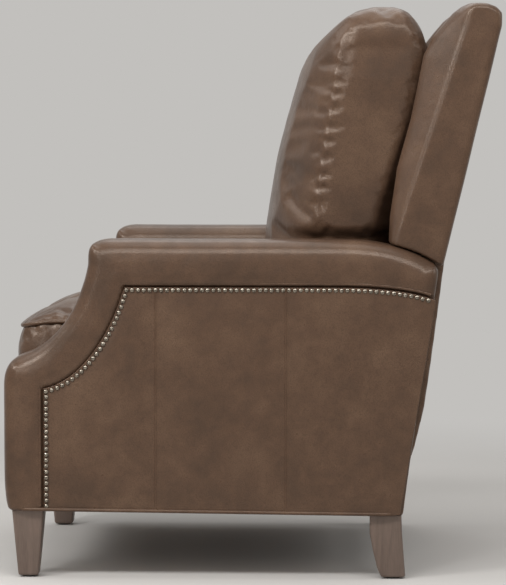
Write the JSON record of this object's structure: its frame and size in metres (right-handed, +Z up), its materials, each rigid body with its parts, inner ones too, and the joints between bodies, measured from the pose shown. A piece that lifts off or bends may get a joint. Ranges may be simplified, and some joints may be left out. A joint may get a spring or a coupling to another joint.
{
  "type": "wingback recliner",
  "caption": "Push-back recliner with padded wings, scooped arms, a loose back pillow, tapered wooden legs and a linkage footrest that rises from under the seat.",
  "frame": {"origin": "on the floor under the middle of the chair's bounding box", "axes": "+Z up, the sitter faces -Y, +X is the sitter's left"},
  "size_m": [0.79, 0.957, 1.106],
  "materials": {
    "leather": "satin",
    "leg_wood": "satin",
    "frame_wood": "matte",
    "mechanism_steel": "satin",
    "spring_steel": "satin",
    "glide_nylon": "matte"
  },
  "bodies": {
    "base": {"left_arm_pad": "leather", "right_arm_pad": "leather", "left_side_panel": "leather", "right_side_panel": "leather", "left_arm_frame": "frame_wood", "right_arm_frame": "frame_wood", "left_front_leg": "leg_wood", "right_front_leg": "leg_wood", "left_rear_leg": "leg_wood", "right_rear_leg": "leg_wood", "left_front_glide": "glide_nylon", "right_front_glide": "glide_nylon", "left_rear_glide": "glide_nylon", "right_rear_glide": "glide_nylon", "front_base_rail": "frame_wood", "rear_base_rail": "frame_wood", "left_base_plate": "mechanism_steel", "right_base_plate": "mechanism_steel"},
    "front_swing": {"left_front_swing_link": "leather", "right_front_swing_link": "leather", "front_torque_tube": "mechanism_steel"},
    "rear_swing": {"left_rear_swing_link": "leather", "right_rear_swing_link": "leather", "rear_torque_tube": "mechanism_steel"},
    "seat_carriage": {"left_carriage_plate": "mechanism_steel", "right_carriage_plate": "mechanism_steel", "left_seat_side_rail": "frame_wood", "right_seat_side_rail": "frame_wood", "seat_front_rail": "frame_wood", "seat_rear_rail": "frame_wood", "seat_nosing": "frame_wood", "seat_spring_far_right": "spring_steel", "seat_spring_right": "spring_steel", "seat_spring_left": "spring_steel", "seat_spring_far_left": "spring_steel", "seat_cushion": "leather"},
    "drive_arms": {"left_drive_link": "mechanism_steel", "right_drive_link": "mechanism_steel", "footrest_cross_shaft": "mechanism_steel"},
    "left_lift_arm": {"left_lift_link": "mechanism_steel"},
    "right_lift_arm": {"right_lift_link": "mechanism_steel"},
    "footrest": {"left_footrest_bracket": "mechanism_steel", "right_footrest_bracket": "mechanism_steel", "footrest_board": "frame_wood", "footrest_pad": "leather"},
    "left_stay": {"left_stay_link": "mechanism_steel"},
    "right_stay": {"right_stay_link": "mechanism_steel"},
    "back": {"left_back_bracket": "mechanism_steel", "right_back_bracket": "mechanism_steel", "back_shell": "leather", "back_frame": "frame_wood", "left_wing": "leather", "right_wing": "leather", "back_pillow": "leather"}
  },
  "joints": [
    {"name": "recline", "type": "hinge", "parent": "base", "child": "front_swing", "pos_m": [0, -0.2635, 0.185], "axis": [1, 0, 0], "range_deg": [0, 40]},
    {"name": "rear_swing_turn", "type": "hinge", "parent": "base", "child": "rear_swing", "pos_m": [0, 0.0815, 0.185], "axis": [1, 0, 0], "range_deg": [0, 40]},
    {"name": "carriage_level", "type": "hinge", "parent": "front_swing", "child": "seat_carriage", "pos_m": [0, -0.23272, 0.26957], "axis": [1, 0, 0], "range_deg": [-40, 0]},
    {"name": "back_tilt", "type": "hinge", "parent": "seat_carriage", "child": "back", "pos_m": [0, 0.2415, 0.29], "axis": [-1, 0, 0], "range_deg": [0, 30]},
    {"name": "footrest_extend", "type": "hinge", "parent": "seat_carriage", "child": "drive_arms", "pos_m": [0, -0.3605, 0.336], "axis": [-1, 0, 0], "range_deg": [0, 81]},
    {"name": "left_lift_turn", "type": "hinge", "parent": "drive_arms", "child": "left_lift_arm", "pos_m": [0.248, -0.36795, 0.24129], "axis": [1, 0, 0], "range_deg": [0, 162]},
    {"name": "right_lift_turn", "type": "hinge", "parent": "drive_arms", "child": "right_lift_arm", "pos_m": [-0.248, -0.36795, 0.24129], "axis": [1, 0, 0], "range_deg": [0, 162]},
    {"name": "footrest_turn", "type": "hinge", "parent": "left_lift_arm", "child": "footrest", "pos_m": [0, -0.37541, 0.336], "axis": [-1, 0, 0], "range_deg": [0, 162]},
    {"name": "left_stay_turn", "type": "hinge", "parent": "footrest", "child": "left_stay", "pos_m": [0.238, -0.38286, 0.24129], "axis": [1, 0, 0], "range_deg": [0, 162]},
    {"name": "right_stay_turn", "type": "hinge", "parent": "footrest", "child": "right_stay", "pos_m": [-0.238, -0.38286, 0.24129], "axis": [1, 0, 0], "range_deg": [0, 162]}
  ],
  "couplings": [
    {"joint": "rear_swing_turn", "follows": "recline", "ratio": 1},
    {"joint": "carriage_level", "follows": "recline", "ratio": -1},
    {"joint": "back_tilt", "follows": "recline", "ratio": 0.75},
    {"joint": "left_lift_turn", "follows": "footrest_extend", "ratio": 2},
    {"joint": "right_lift_turn", "follows": "footrest_extend", "ratio": 2},
    {"joint": "footrest_turn", "follows": "footrest_extend", "ratio": 2},
    {"joint": "left_stay_turn", "follows": "footrest_extend", "ratio": 2},
    {"joint": "right_stay_turn", "follows": "footrest_extend", "ratio": 2}
  ]
}
